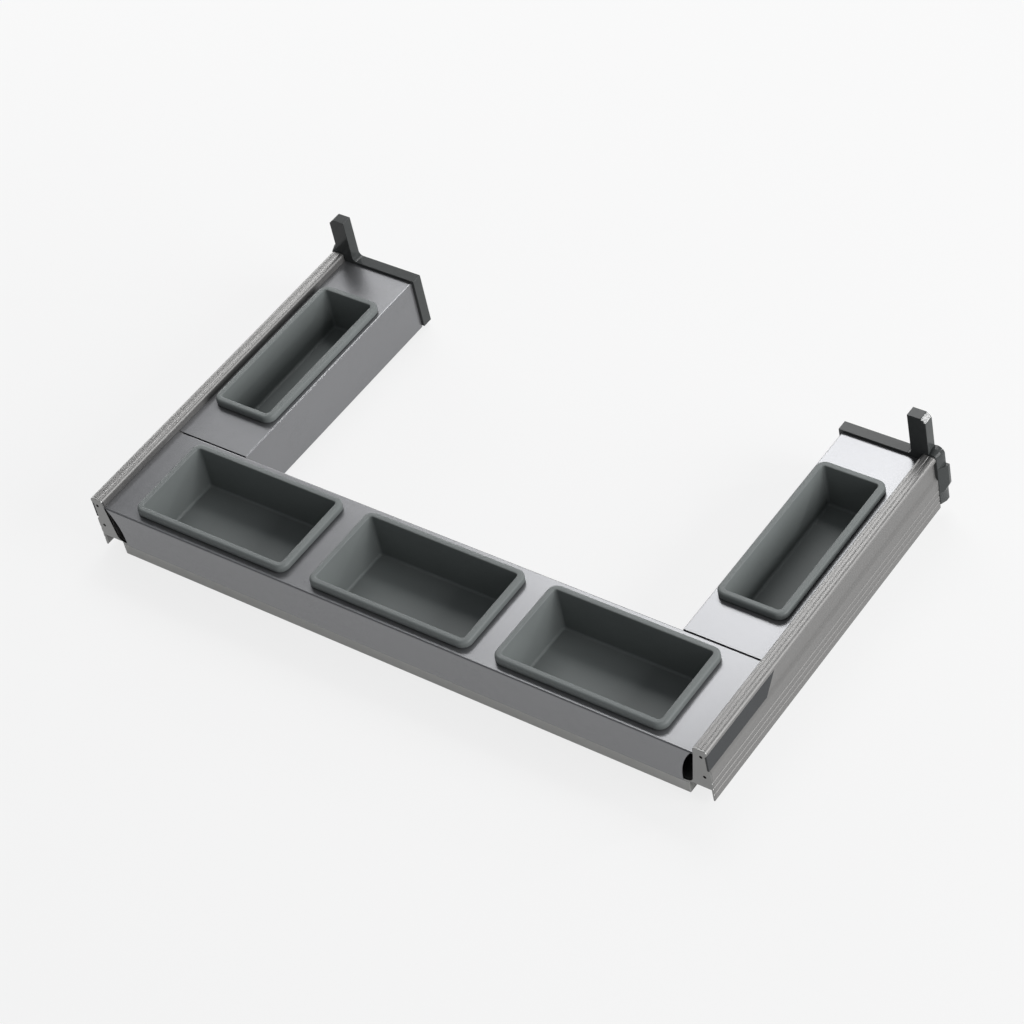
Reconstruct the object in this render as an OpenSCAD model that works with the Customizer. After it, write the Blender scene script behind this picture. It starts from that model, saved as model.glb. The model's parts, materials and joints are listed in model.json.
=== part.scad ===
// Under-sink pull-out: a U-shaped storage drawer that passes round a sink trap.
// Two extruded side profiles ride on ball runners that are screwed to the cabinet floor.
// Millimetres, +X to the right, +Y to the back, z = 0 on the cabinet floor.

/* [Overall] */
// Width over the outer faces of the two side profiles
body_w = 850; // [820:1:1100]
// Depth from the front face to the rear end of the side profiles
body_d = 470; // [455:1:560]
// Height of the tray deck above the cabinet floor
deck_h = 74; // [73:0.5:84]
// Depth of the front tray, from its face to the rim of the trap cut-out
front_tray_d = 140; // [136:1:180]
// Width of each side wing, from the outer face to the trap cut-out
wing_w = 121; // [119:1:180]

/* [Sheet trays and base board] */
// Thickness of the folded sheet
sheet_t = 1; // [0.8:0.1:1.2]
// Outer radius of the folds
fold_r = 1.8; // [1.4:0.1:3]
// Width of the return flanges that lie against the board
return_w = 12; // [9:0.5:14]
// Thickness of the base board
board_t = 16; // [15:0.5:18]
// Gap between the front tray and each wing tray
seam_gap = 1.2; // [0.4:0.1:3]
// Gap between a deck edge and the side profile
deck_gap = 0.3; // [0.2:0.1:1.5]
// Radius of the curved ends of the front panel
panel_end_r = 82; // [74:1:110]
// Distance from the outer face to the foot of the curved panel end
panel_end_in = 37.5; // [36.5:0.5:44]
// Depth of the turned-down edge at the front of each wing tray
turn_down = 10; // [5:1:20]

/* [Side profile] */
// Wall thickness of the extrusion
wall_t = 1.8; // [1.4:0.1:2.2]
// Height of the round bead above the deck
bead_rise = 11; // [10:0.5:14]
// Width over the bead
bead_w = 17.6; // [17:0.2:20]
// Radius of the outer lobe of the bead
lobe_r = 4.6; // [4:0.1:5]
// Radius of the inner ridge of the bead
ridge_r = 4.4; // [3.8:0.1:4.8]
// Depth of the recessed band below the bead
band_in = 3; // [2:0.1:3.4]
// Distance from the deck down to the lower edge of the band
band_drop = 20.5; // [18:0.5:24]
// Height of the chamfer below the band
band_chamfer = 4.5; // [3:0.5:6]
// Distance from the deck down to the underside over the runner
under_drop = 50.5; // [48:0.5:52]
// Width of the profile at its foot
foot_w = 32.2; // [32:0.2:36]
// Radius of the hollow between the inner wall and the foot
foot_r = 8; // [5:0.5:9]
// Length of the flange that clamps the base board
flange_w = 18.5; // [12:0.5:24]
// Width of the gap for the runner, from the leg to the board
channel_w = 28.5; // [28:0.5:30]
// Thickness of the outer leg that hides the runner
leg_t = 2; // [1.6:0.1:2.4]
// Height of the lower edge of the leg above the cabinet floor
leg_lift = 6.3; // [4:0.1:10]
// Pitch of the shallow grooves along the lower outer wall
groove_pitch = 8.8; // [8:0.1:10]
// Depth of those grooves
groove_deep = 0.7; // [0.3:0.1:0.9]
// Distance from the band's chamfer down to the first groove
groove_drop = 14; // [10:0.5:18]
// Distance from the outer face to the axis of the screw ports
port_in = 8; // [7:0.1:10]
// Distance from the deck down to the upper screw port
port_drop = 0.7; // [0:0.1:3]
// Distance between the two screw ports
port_pitch = 32; // [30:0.5:34]
// Diameter of the screw ports
port_d = 3.2; // [2.8:0.1:3.4]
// Thickness of the plate that closes the front end
plate_t = 2.5; // [2:0.1:4]
// Diameter of the holes in that plate
plate_hole_d = 4; // [3.8:0.1:5]

/* [Side cover] */
// Length of the cover along its upper edge
cover_len = 133; // [80:1:200]
// Slant of its rear end
cover_slant = 20; // [5:1:40]
// Thickness of the cover
cover_t = 2.4; // [1.6:0.1:2.6]

/* [Rear bracket] */
// Thickness of the bracket, front to back
bracket_t = 14; // [13:0.5:20]
// Distance that the bracket stands proud of deck and walls
bracket_proud = 3.8; // [2:0.1:5]
// Height of the bracket's lower edge above the underside of the board
bracket_lift = 1; // [0:0.5:4]
// Height of the bracket's outer leg above the cabinet floor
bracket_leg_lift = 12; // [8:0.5:20]
// Radius of the dome that closes the bracket over the bead
dome_r = 9; // [7:0.5:12]
// Height of the dome above the bead
dome_rise = 5; // [3:0.5:8]
// Width of the upright arm
arm_w = 23; // [18:0.5:26]
// Height of the arm above the deck
arm_rise = 64; // [40:1:120]
// Distance from the outer face to the outer side of the arm
arm_in = 8.5; // [6:0.5:10]
// Chamfer at the outer top corner of the arm
arm_chamfer = 6; // [2:0.5:8]
// Fillet between the arm and the top of the bracket
arm_fillet = 6; // [2:0.5:10]
// Thickness of the rear wall and of the ribs of the bracket
bracket_wall = 3; // [2.5:0.1:4]
// Length of the lead-in along the outer front edge
lead_len = 8; // [4:0.5:10]
// Depth of that lead-in
lead_in = 3.2; // [1:0.1:3.6]
// Distance that the guide pad stands out beyond the outer face
pad_out = 8.5; // [6:0.1:8.8]
// Distance from the deck down to the top of the guide pad
pad_drop = 7; // [4:0.5:10]
// Height of the guide pad
pad_h = 37.5; // [25:0.5:42]
// Height of the slanted lower end of the pad
pad_slant = 10; // [5:0.5:14]
// Thickness of the guide pad behind its ramp
pad_t = 4; // [3:0.5:8]

/* [Bins] */
// Length of the opening of a bin
bin_l = 206; // [180:1:215]
// Width of the opening of a front bin
bin_w = 104.5; // [90:0.5:106]
// Width of the opening of a side bin
side_bin_w = 72; // [50:0.5:74]
// Depth of a bin below the deck, to its underside
bin_drop = 50; // [35:0.5:51]
// Height of the rim above the deck
rim_rise = 10; // [8:0.5:14]
// Width of the rim, from the opening to its outer edge
rim_w = 8.2; // [7:0.1:9]
// Radius of the outer upper edge of the rim
rim_r = 4.2; // [3:0.1:5]
// Chamfer under the outer edge of the rim
rim_under = 2.6; // [1:0.1:3.5]
// Chamfer at the inner edge of the rim
rim_edge = 0.9; // [0.4:0.1:1.5]
// Wall thickness of a bin
bin_t = 2; // [1.6:0.1:2.4]
// Taper of a bin wall, per side
bin_taper = 3; // [1:0.5:5]
// Corner radius of the opening
bin_corner = 4; // [3:0.5:14]
// Inside radius where the wall meets the floor
bin_floor_r = 4; // [3:0.5:8]
// Clearance between a bin and its cut-out
bin_gap = 0.5; // [0.3:0.1:1.5]
// Distance between the centres of two front bins
bin_pitch = 255; // [226:1:262]
// Distance from the front face to the centre of the front bins
bin_front_y = 69; // [66:0.5:76]
// Distance from the trap cut-out to the centre of a side bin
side_bin_in = 49.5; // [48:0.5:52]

/* [Runners] */
// Distance from the outer face to the middle of the runner
rail_in = 16; // [15:0.5:17]
// Distance from the front face to the front end of the runners
rail_set_back = 20; // [16:1:40]
// Distance from the rear bracket to the rear end of the runners
rail_rear_gap = 2; // [0.5:0.5:10]
// Width of the runner channels
rail_w = 23; // [22.6:0.1:24]
// Height of one runner channel
rail_h = 10.4; // [9.8:0.1:10.8]
// Thickness of the channel webs
web_t = 2; // [1.8:0.1:2.2]
// Thickness of the channel walls
rail_t = 1.5; // [1.2:0.1:1.6]
// Length of the lips that close the channels
lip_w = 3.5; // [2:0.1:4.5]
// Thickness of those lips
lip_t = 1.4; // [1:0.1:1.8]
// Diameter of the balls
ball_d = 3; // [2.8:0.1:3]
// Clearance between a ball and its tracks
ball_gap = 0.2; // [0.1:0.05:0.3]
// Number of balls in a row
ball_rows = 7; // [3:1:8]
// Distance between two balls
ball_pitch = 28; // [10:1:28]
// Height of a flange of the middle rail
flange_h = 4; // [3.8:0.1:4.2]
// Thickness of the web of the middle rail
mid_web_t = 3; // [2:0.1:4]
// Thickness of the ball cages
cage_t = 0.6; // [0.4:0.1:0.7]
// Clearance of the cages and flanges to the webs
cage_gap = 0.3; // [0.2:0.05:0.4]
// Length of the middle rail
mid_len = 390; // [370:1:392]
// Distance from the front end of the cabinet rail to the middle rail
mid_set_back = 28; // [24:1:30]
// Full extension of the drawer
travel = 450; // [400:5:455]
// Distance from the end of a cabinet rail to its first floor screw
floor_hole_in = 18; // [10:0.5:20]
// Distance from the rear end of a cabinet rail to its second floor screw
floor_hole_rear = 14; // [10:0.5:20]
// Diameter of the floor screw holes
floor_hole_d = 4.5; // [4:0.1:6]
// Length of the rubber stop
stop_len = 9; // [5:0.5:10]
// Gap between the stop and the middle rail of a closed drawer
stop_gap = 0.3; // [0.1:0.1:1]

/* [Screws] */
// Shank diameter of the screws
screw_d = 3; // [2.5:0.1:3]
// Clearance round a shank
screw_gap = 0.1; // [0.05:0.05:0.2]
// Head diameter of the pan-head screws
pan_d = 6.4; // [5:0.1:7]
// Head height of the pan-head screws
pan_h = 1.8; // [1.4:0.1:2]
// Head diameter of the countersunk screws
sunk_d = 6.2; // [5:0.1:6.4]
// Length of the screws that hold the trays
tray_screw_len = 12; // [8:1:14]
// Length of the screws that hold the drawer rails
rail_screw_len = 8; // [6:1:12]
// How far the bracket screws run into the side profiles
bracket_screw_grip = 12; // [8:1:30]
// Distance from the end of a drawer rail to its screw
rail_screw_in = 30; // [15:1:60]
// Distance from either end of a side profile to the nearest board screw
board_screw_in = 60; // [30:1:100]
// Distance from either end of a wing tray to the nearest of its screws
tray_screw_in = 60; // [20:1:100]
// Distance between the screws along the rim of the trap cut-out
skirt_screw_pitch = 210; // [120:1:260]

/* [Hidden] */
$fn = 48;
// Overlap that joins two shapes, and how far a cut runs past a face
hair = 0.01;
cut = 1;
// Longer than any strip
far = 2000;
half_w = body_w / 2;
front_y = -(body_d + bracket_t) / 2;
profile_end_y = front_y + body_d;
rear_y = profile_end_y + bracket_t;
bead_top = deck_h + bead_rise;
under_h = deck_h - under_drop;
// The curved panel ends and the rear wall stop just above the foot flange
panel_foot_h = under_h + 0.5;
band_low = deck_h - band_drop;
port_z = [deck_h - port_drop, deck_h - port_drop - port_pitch];
inner_x = half_w - wing_w;
tray_y = front_y + front_tray_d;
wing_y = tray_y + seam_gap;
// The board hangs under the foot flange, and both end on the inner side of the runner gap
board_x = half_w - leg_t - channel_w;
flange_t = 3.5;
board_top = under_h - flange_t;
board_low = board_top - board_t;
// The inner wall leans in a little below the bead
inner_wall_in = bead_w + 0.2;
deck_edge_x = half_w - inner_wall_in - deck_gap;
wall_foot_x = half_w - foot_w + foot_r;
foot_arc_h = panel_foot_h + foot_r;
// Flat between the lobe and the ridge
bead_flat = bead_top - 0.5;
lobe_z = bead_flat - lobe_r;
fine_groove_in = 7.4;
fine_groove_r = 1.2;
groove_r = 2.4;
port_rib = 2.4;
ridge_z = bead_top - ridge_r;
ledge_w = 6;
ledge_t = 1.6;
ledge_x = deck_edge_x + deck_gap - ledge_w;
// Runner: a C-channel below, the same channel upside down above, an I-rail and two cages between
rail_x = half_w - rail_in;
rail_y = front_y + rail_set_back;
rail_end_y = profile_end_y - rail_rear_gap;
mid_y = rail_y + mid_set_back;
flange_low = web_t + 2 * cage_gap + cage_t;
track_h = flange_low + flange_h / 2;
// The tracks are sunk a little into the walls and the flanges
track_sink = 0.2;
track_x = rail_w / 2 - rail_t - ball_d / 2 + track_sink;
track_r = ball_d / 2 + ball_gap;
flange_half = track_x - ball_d / 2 + track_sink;
cage_end = 8;
cage_len = (ball_rows - 1) * ball_pitch + 2 * cage_end;
// A cage runs half as far as the two members beside it run apart, so it starts behind the middle
lower_cage_y = rail_y + travel / 4 + cage_end / 2;
upper_cage_y = mid_y + travel / 4 + cage_end / 2;
stop_y = mid_y + mid_len + stop_gap;
wing_bin_y = (wing_y + profile_end_y) / 2;
foot_hole_x = board_x - flange_w / 2;
// The front plate stops just beside the curved end of the front panel
plate_foot = panel_end_in - deck_gap - leg_t - channel_w;
// Gap between a return flange of a tray and the piece beside it
return_gap = 1;
bracket_hole_d = screw_d + 4 * screw_gap;
// Half width over the corners of the sockets in the screw heads
socket_r = 1.15;
// The heads of the bracket screws lie below the rear face
head_sink = pan_h + 1;

// A section drawn as [x, z] runs from y0 to y1
module along_y(y0, y1) {
    translate([0, y1, 0])
        rotate([90, 0, 0])
            linear_extrude(y1 - y0)
                children();
}

// A section drawn as [y, z] runs from x0 to x1
module along_x(x0, x1) {
    translate([x0, 0, 0])
        rotate([90, 0, 90])
            linear_extrude(x1 - x0)
                children();
}

module left() {
    mirror([1, 0, 0])
        children();
}

module both_sides() {
    children();
    left()
        children();
}

// A box from its two corners
module block(a, b) {
    translate(a)
        cube(b - a);
}

// Clearance hole for a screw
module screw_hole(len) {
    cylinder(d = screw_d + 2 * screw_gap, h = len);
}

// A rectangle from its two corners
module plate2d(a, b) {
    translate(a)
        square(b - a);
}

// Side profile, drawn for the right side

// Outer outline of the extrusion, flange_in is how far the foot flange reaches inwards
module profile_outline(flange_in) {
    x = half_w;
    foot_x = x - foot_w;
    groove_top = band_low - band_chamfer - groove_drop;
    difference() {
        union() {
            polygon([
                [x - bead_w, ridge_z], [x - inner_wall_in, deck_h],
                [wall_foot_x, foot_arc_h], [foot_x, foot_arc_h], [foot_x, under_h],
                [board_x - flange_in, under_h], [board_x - flange_in, board_top],
                [board_x, board_top], [board_x, under_h],
                [x - leg_t, under_h], [x - leg_t, leg_lift + leg_t / 2],
                [x, leg_lift + leg_t / 2], [x, band_low - band_chamfer],
                [x - band_in, band_low], [x - band_in, lobe_z - lobe_r / 2],
                [x - lobe_r, lobe_z], [x - lobe_r, bead_flat],
                [x - bead_w + ridge_r, bead_flat], [x - bead_w + ridge_r, ridge_z]
            ]);
            translate([x - lobe_r, lobe_z])
                circle(lobe_r);
            translate([x - bead_w + ridge_r, ridge_z])
                circle(ridge_r);
            translate([x - leg_t / 2, leg_lift + leg_t / 2])
                circle(leg_t / 2);
        }
        // Hollow above the foot
        translate([foot_x, foot_arc_h])
            circle(foot_r);
        // Fine groove between lobe and ridge
        translate([x - fine_groove_in, bead_flat + fine_groove_r / 2])
            circle(fine_groove_r);
        // Grooves along the lower wall
        for (i = [0 : 2])
            translate([x + groove_r - groove_deep, groove_top - i * groove_pitch])
                circle(groove_r);
    }
}

// Ledge that carries the edge of the deck
module deck_ledge() {
    plate2d([ledge_x, deck_h - sheet_t - ledge_t], [ledge_x + ledge_w + wall_t / 2, deck_h - sheet_t]);
}

// The two hollow chambers, one above and one below the web behind the band
module profile_chambers() {
    x = half_w;
    in_x = x - inner_wall_in + wall_t;
    low_x = wall_foot_x + wall_t;
    web_top = band_low + wall_t / 2;
    slope = (low_x - in_x) / (foot_arc_h - deck_h);
    polygon([
        [low_x, under_h + wall_t], [x - wall_t, under_h + wall_t],
        [x - wall_t, band_low - band_chamfer - wall_t / 2], [x - band_in - wall_t, web_top - wall_t],
        [in_x + slope * (web_top - wall_t - deck_h), web_top - wall_t], [low_x, foot_arc_h]
    ]);
    polygon([
        [in_x + slope * (web_top - deck_h), web_top], [x - band_in - wall_t, web_top],
        [x - band_in - wall_t, lobe_z - lobe_r / 2], [x - lobe_r, bead_flat - wall_t],
        [x - bead_w + ridge_r, bead_flat - wall_t], [in_x, ridge_z], [in_x, deck_h]
    ]);
}

module port_bosses(r) {
    for (z = port_z)
        translate([half_w - port_in, z])
            circle(r);
}

module port_tie(z, out_x) {
    plate2d([half_w - port_in, z - port_rib / 2], [out_x, z + port_rib / 2]);
}

module profile_section() {
    difference() {
        union() {
            difference() {
                union() {
                    profile_outline(flange_w);
                    deck_ledge();
                }
                profile_chambers();
            }
            port_bosses(port_d / 2 + wall_t);
            // Ribs that tie the screw ports to the outer wall
            port_tie(port_z[0], half_w - band_in - wall_t / 2);
            port_tie(port_z[1], half_w - wall_t / 2);
        }
        port_bosses(port_d / 2);
    }
}

module side_profile() {
    color([0.74, 0.74, 0.73])
        difference() {
            along_y(front_y + plate_t, profile_end_y)
                profile_section();
            // Holes for the runner screws and the board screws
            for (y = rail_screw_y)
                translate([rail_x, y, under_h - cut])
                    screw_hole(wall_t + 2 * cut);
            for (y = board_screw_y)
                translate([foot_hole_x, y, board_top - cut])
                    screw_hole(flange_t + 2 * cut);
        }
}

module front_plate() {
    color([0.55, 0.56, 0.56])
        along_y(front_y, front_y + plate_t)
            difference() {
                profile_outline(plate_foot);
                port_bosses(plate_hole_d / 2);
            }
}

// The cover fills the band, and its upper edge follows the lobe
module side_cover() {
    x = half_w - band_in;
    top = lobe_z - lobe_r / 2;
    drop = top - band_low;
    color([0.27, 0.28, 0.29])
        difference() {
            along_y(front_y, front_y + cover_len)
                difference() {
                    plate2d([x, band_low], [x + cover_t, lobe_z]);
                    translate([half_w - lobe_r, lobe_z])
                        circle(lobe_r + hair);
                }
            // Slanted rear end
            translate([x - cut, front_y + cover_len, top])
                rotate([0, 90, 0])
                    linear_extrude(cover_t + 2 * cut)
                        polygon([
                            [-lobe_r, 0], [0, 0], [drop + hair, -cover_slant],
                            [drop + hair, cut], [-lobe_r, cut]
                        ]);
        }
}

// Rear bracket, drawn for the right side

module bracket_outline() {
    x = half_w;
    out_x = x + bracket_proud;
    in_x = inner_x - bracket_proud;
    top = deck_h + bracket_proud;
    low = board_low + bracket_lift;
    dome_z = bead_top + dome_rise - dome_r;
    arm_x = x - arm_in - arm_w;
    arm_top = deck_h + arm_rise;
    difference() {
        union() {
            polygon([
                [in_x, low], [in_x, top], [arm_x - arm_fillet, top], [arm_x - arm_fillet, top + arm_fillet],
                [arm_x, top + arm_fillet], [arm_x, arm_top],
                [x - arm_in - arm_chamfer, arm_top], [x - arm_in, arm_top - arm_chamfer],
                [x - arm_in, dome_z], [out_x, dome_z], [out_x, bracket_leg_lift],
                [x - leg_t, bracket_leg_lift], [x - leg_t, under_h],
                [board_x, under_h], [board_x, low]
            ]);
            translate([out_x - dome_r, dome_z])
                circle(dome_r);
        }
        translate([arm_x - arm_fillet, top + arm_fillet])
            circle(arm_fillet);
    }
}

// What the lead-in takes off the leg and the dome, so that the drawer finds its way in
module outer_lead_in() {
    out_x = half_w + bracket_proud;
    dome_z = bead_top + dome_rise - dome_r;
    slope = lead_in / lead_len;
    translate([0, 0, bracket_leg_lift - cut])
        linear_extrude(dome_z - bracket_leg_lift + cut + hair)
            polygon([
                [out_x - lead_in - slope * cut, profile_end_y - cut],
                [out_x + cut, profile_end_y - cut],
                [out_x + cut, profile_end_y + lead_len + cut / slope]
            ]);
    difference() {
        block(
            [half_w - arm_in, profile_end_y - cut, dome_z],
            [out_x + cut, profile_end_y + lead_len, dome_z + dome_r + cut]
        );
        translate([out_x - dome_r, profile_end_y - cut, dome_z])
            rotate([-90, 0, 0])
                cylinder(r1 = dome_r - lead_in - slope * cut, r2 = dome_r, h = lead_len + cut);
    }
}

// The pad's ramp starts at the side profile and its lower end is slanted
module guide_pad() {
    x = half_w;
    out_x = x + bracket_proud;
    pad_top = deck_h - pad_drop;
    ramp_x = out_x - lead_in;
    intersection() {
        translate([0, 0, pad_top - pad_h])
            linear_extrude(pad_h)
                polygon([
                    [ramp_x - 1, profile_end_y], [ramp_x, profile_end_y], [x + pad_out, rear_y - pad_t],
                    [x + pad_out, rear_y], [ramp_x - 1, rear_y]
                ]);
        along_y(profile_end_y - cut, rear_y + cut)
            polygon([
                [ramp_x - cut - 1, pad_top + cut], [x + pad_out + cut, pad_top + cut],
                [x + pad_out + cut, pad_top - pad_h + pad_slant * (1 + cut / (pad_out - bracket_proud))],
                [out_x, pad_top - pad_h], [out_x, pad_top - pad_h - cut],
                [ramp_x - cut - 1, pad_top - pad_h - cut]
            ]);
    }
}

module rear_bracket() {
    x = half_w;
    rib_step = (board_x - inner_x) / 3;
    rib_face = rear_y - bracket_wall;
    color([0.29, 0.30, 0.31])
        difference() {
            union() {
                difference() {
                    along_y(profile_end_y, rear_y)
                        bracket_outline();
                    outer_lead_in();
                }
                guide_pad();
            }
            // Pockets between the ribs, open towards the wing tray
            for (i = [0 : 2])
                block(
                    [inner_x + i * rib_step, profile_end_y - cut, board_low + bracket_lift + bracket_wall],
                    [inner_x + (i + 1) * rib_step - bracket_wall, rib_face, deck_h - bracket_wall]
                );
            // Screw holes with sunk heads
            for (z = port_z) {
                translate([x - port_in, profile_end_y - cut, z])
                    rotate([-90, 0, 0])
                        cylinder(d = bracket_hole_d, h = bracket_t + 2 * cut);
                translate([x - port_in, rear_y - head_sink, z])
                    rotate([-90, 0, 0])
                        cylinder(d = pan_d + 6 * screw_gap, h = head_sink + cut);
            }
        }
}

// Trays

// A folded strip of sheet: a flat top and a wall down from its left end, with a round fold
module fold_corner(outer) {
    r = outer ? fold_r : fold_r - sheet_t;
    t = outer ? 0 : sheet_t;
    translate([t + r, -t - r])
        circle(r);
    plate2d([t + r, -far], [far, -t]);
    plate2d([t, -far], [far, -t - r]);
}

module folded_sheet(len, drop) {
    intersection() {
        difference() {
            fold_corner(true);
            fold_corner(false);
        }
        plate2d([0, -drop], [len, 0]);
    }
}

function bin_cut(l) = l / 2 + bin_t + bin_gap;

module bin_cutout(l, w) {
    c = bin_corner + bin_t + bin_gap;
    linear_extrude(2 * sheet_t + cut, center = true)
        union() {
            square([2 * bin_cut(l) - 2 * c, 2 * bin_cut(w)], center = true);
            square([2 * bin_cut(l), 2 * bin_cut(w) - 2 * c], center = true);
            for (i = [-1, 1], j = [-1, 1])
                translate([i * (bin_cut(l) - c), j * (bin_cut(w) - c)])
                    circle(c);
        }
}

module tray_front() {
    return_x = board_x - flange_w - return_gap;
    skirt_x = inner_x - return_gap;
    skirt_low = board_low - sheet_t;
    wall_end_x = ledge_x - deck_gap;
    color([0.60, 0.61, 0.63])
        difference() {
            union() {
                // Front panel and front half of the deck
                along_x(-deck_edge_x, deck_edge_x)
                    translate([front_y, deck_h])
                        folded_sheet(front_tray_d / 2 + hair, deck_h - board_top);
                // Rear wall and rear half of the deck
                along_x(-deck_edge_x, deck_edge_x)
                    translate([tray_y, deck_h])
                        mirror([1, 0])
                            folded_sheet(front_tray_d / 2, deck_h - panel_foot_h);
                // Return of the front panel, on the board
                block([-return_x, front_y, board_top], [return_x, front_y + return_w, board_top + sheet_t]);
                // Skirt that covers the board's edge at the trap cut-out, and its return
                block([-skirt_x, tray_y - sheet_t, skirt_low], [skirt_x, tray_y, panel_foot_h + hair]);
                block([-skirt_x, tray_y - return_w, skirt_low], [skirt_x, tray_y, board_low]);
            }
            // Curved ends of the panel and of the rear wall
            both_sides()
                intersection() {
                    translate([half_w - panel_end_in + panel_end_r, front_y - cut, panel_foot_h])
                        rotate([-90, 0, 0])
                            cylinder(r = panel_end_r, h = front_tray_d + 2 * cut, $fn = 128);
                    block([inner_x, front_y - cut, 0], [half_w, tray_y + cut, deck_h - sheet_t]);
                }
            both_sides()
                block([half_w - panel_end_in, front_y - cut, 0], [half_w, tray_y + cut, panel_foot_h]);
            // The rear wall stops short of the ledge that carries the deck
            both_sides()
                block([wall_end_x, tray_y - 2 * fold_r, 0], [half_w, tray_y + cut, deck_h - sheet_t]);
            for (i = [-1, 0, 1])
                translate([i * bin_pitch, front_y + bin_front_y, deck_h])
                    bin_cutout(bin_l, bin_w);
            tray_screw_holes();
        }
}

// Wing tray, drawn for the right side
module tray_wing() {
    color([0.72, 0.73, 0.74])
        difference() {
            union() {
                along_y(wing_y, profile_end_y)
                    translate([inner_x, deck_h])
                        folded_sheet(deck_edge_x - inner_x, deck_h - board_low + sheet_t);
                // Return under the board
                block(
                    [inner_x, wing_y, board_low - sheet_t],
                    [inner_x + return_w, profile_end_y, board_low]
                );
                // Turned-down front edge
                block(
                    [inner_x + fold_r, wing_y, deck_h - turn_down],
                    [ledge_x - deck_gap, wing_y + sheet_t, deck_h - sheet_t / 2]
                );
            }
            translate([inner_x + side_bin_in, wing_bin_y, deck_h])
                rotate([0, 0, 90])
                    bin_cutout(bin_l, side_bin_w);
            tray_screw_holes();
        }
}

module base_board() {
    color([0.56, 0.55, 0.53])
        difference() {
            block([-board_x, front_y, board_low], [board_x, profile_end_y, board_top]);
            block(
                [-inner_x - sheet_t, tray_y - sheet_t, board_low - cut],
                [inner_x + sheet_t, profile_end_y + cut, board_top + cut]
            );
            both_sides()
                for (y = board_screw_y)
                    translate([foot_hole_x, y, board_low])
                        sunk_hole(board_t);
            for (p = tray_screw_at)
                translate([p[0], p[1], board_low - cut])
                    screw_hole(tray_screw_len + cut);
            for (p = panel_screw_at)
                translate([p[0], p[1], board_top - tray_screw_len])
                    screw_hole(tray_screw_len + cut);
        }
}

// Bins

// One ring of points round a rectangle with round corners, e beyond the opening, at height z
ring_n = 6;
function ring(l, w, e, z) =
    let (r = max(bin_corner + e, 1))
    [for (q = [0 : 3], i = [0 : ring_n])
        let (
            a = q * 90 + i * 90 / ring_n,
            sx = (q == 0 || q == 3) ? 1 : -1,
            sy = (q < 2) ? 1 : -1
        )
        [sx * (l / 2 + e - r) + r * cos(a), sy * (w / 2 + e - r) + r * sin(a), z]];

// Rings from the middle of the underside, out, up, over the rim and down to the floor
function bin_rings() =
    let (
        low = -bin_drop,
        floor_z = low + bin_t,
        e_low = bin_t - bin_taper,
        steps = 3,
        rim_out = rim_w - rim_r,
        rim_side = rim_rise - rim_r
    )
    concat(
        [for (i = [0 : steps]) let (a = i * 90 / steps)
            [e_low - bin_floor_r * (1 - sin(a)), low + bin_floor_r * (1 - cos(a))]],
        [[bin_t, 0], [rim_w - rim_under, 0], [rim_w, rim_under]],
        [for (i = [0 : steps]) let (a = i * 90 / steps)
            [rim_out + rim_r * cos(a), rim_side + rim_r * sin(a)]],
        [[rim_edge, rim_rise], [0, rim_rise - rim_edge]],
        [for (i = [0 : steps]) let (a = i * 90 / steps)
            [-bin_taper - bin_floor_r * (1 - cos(a)), floor_z + bin_floor_r * (1 - sin(a))]]
    );

module bin(l, w) {
    rings = bin_rings();
    n = 4 * (ring_n + 1);
    last = len(rings) - 1;
    points = [for (s = rings) each ring(l, w, s[0], s[1])];
    sides = [for (k = [0 : last - 1], i = [0 : n - 1])
        let (j = (i + 1) % n)
        each [[k * n + i, (k + 1) * n + i, k * n + j], [k * n + j, (k + 1) * n + i, (k + 1) * n + j]]];
    under = [for (i = [0 : n - 1]) i];
    floor_face = [for (i = [n - 1 : -1 : 0]) last * n + i];
    color([0.36, 0.39, 0.38])
        polyhedron(points, concat([under], sides, [floor_face]), convexity = 6);
}

module front_bin(i) {
    translate([i * bin_pitch, front_y + bin_front_y, deck_h])
        bin(bin_l, bin_w);
}

module side_bin(side) {
    translate([side * (inner_x + side_bin_in), wing_bin_y, deck_h])
        rotate([0, 0, 90])
            bin(bin_l, side_bin_w);
}

// Runners, drawn for the right side

// C-channel with its web on the floor, lips inwards at the top, and a ball track in each wall
module channel_section() {
    difference() {
        plate2d([-rail_w / 2, 0], [rail_w / 2, rail_h]);
        plate2d([-rail_w / 2 + rail_t, web_t], [rail_w / 2 - rail_t, rail_h - lip_t]);
        plate2d([-rail_w / 2 + rail_t + lip_w, web_t], [rail_w / 2 - rail_t - lip_w, rail_h + cut]);
        for (s = [-1, 1])
            translate([s * track_x, track_h])
                circle(track_r);
    }
}

module upside_down() {
    translate([0, under_h])
        mirror([0, 1])
            children();
}

module cabinet_rail() {
    color([0.62, 0.63, 0.64])
        difference() {
            along_y(rail_y, rail_end_y)
                translate([rail_x, 0])
                    channel_section();
            for (y = [rail_y + floor_hole_in, rail_end_y - floor_hole_rear])
                translate([rail_x, y, -cut])
                    cylinder(d = floor_hole_d, h = web_t + 2 * cut);
        }
}

module drawer_rail() {
    color([0.62, 0.63, 0.64])
        difference() {
            along_y(rail_y, rail_end_y)
                translate([rail_x, 0])
                    upside_down()
                        channel_section();
            for (y = rail_screw_y)
                translate([rail_x, y, under_h - web_t])
                    sunk_hole(web_t);
        }
}

module flange_section() {
    difference() {
        plate2d([-flange_half, flange_low], [flange_half, flange_low + flange_h]);
        for (s = [-1, 1])
            translate([s * track_x, track_h])
                circle(track_r);
    }
}

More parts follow.
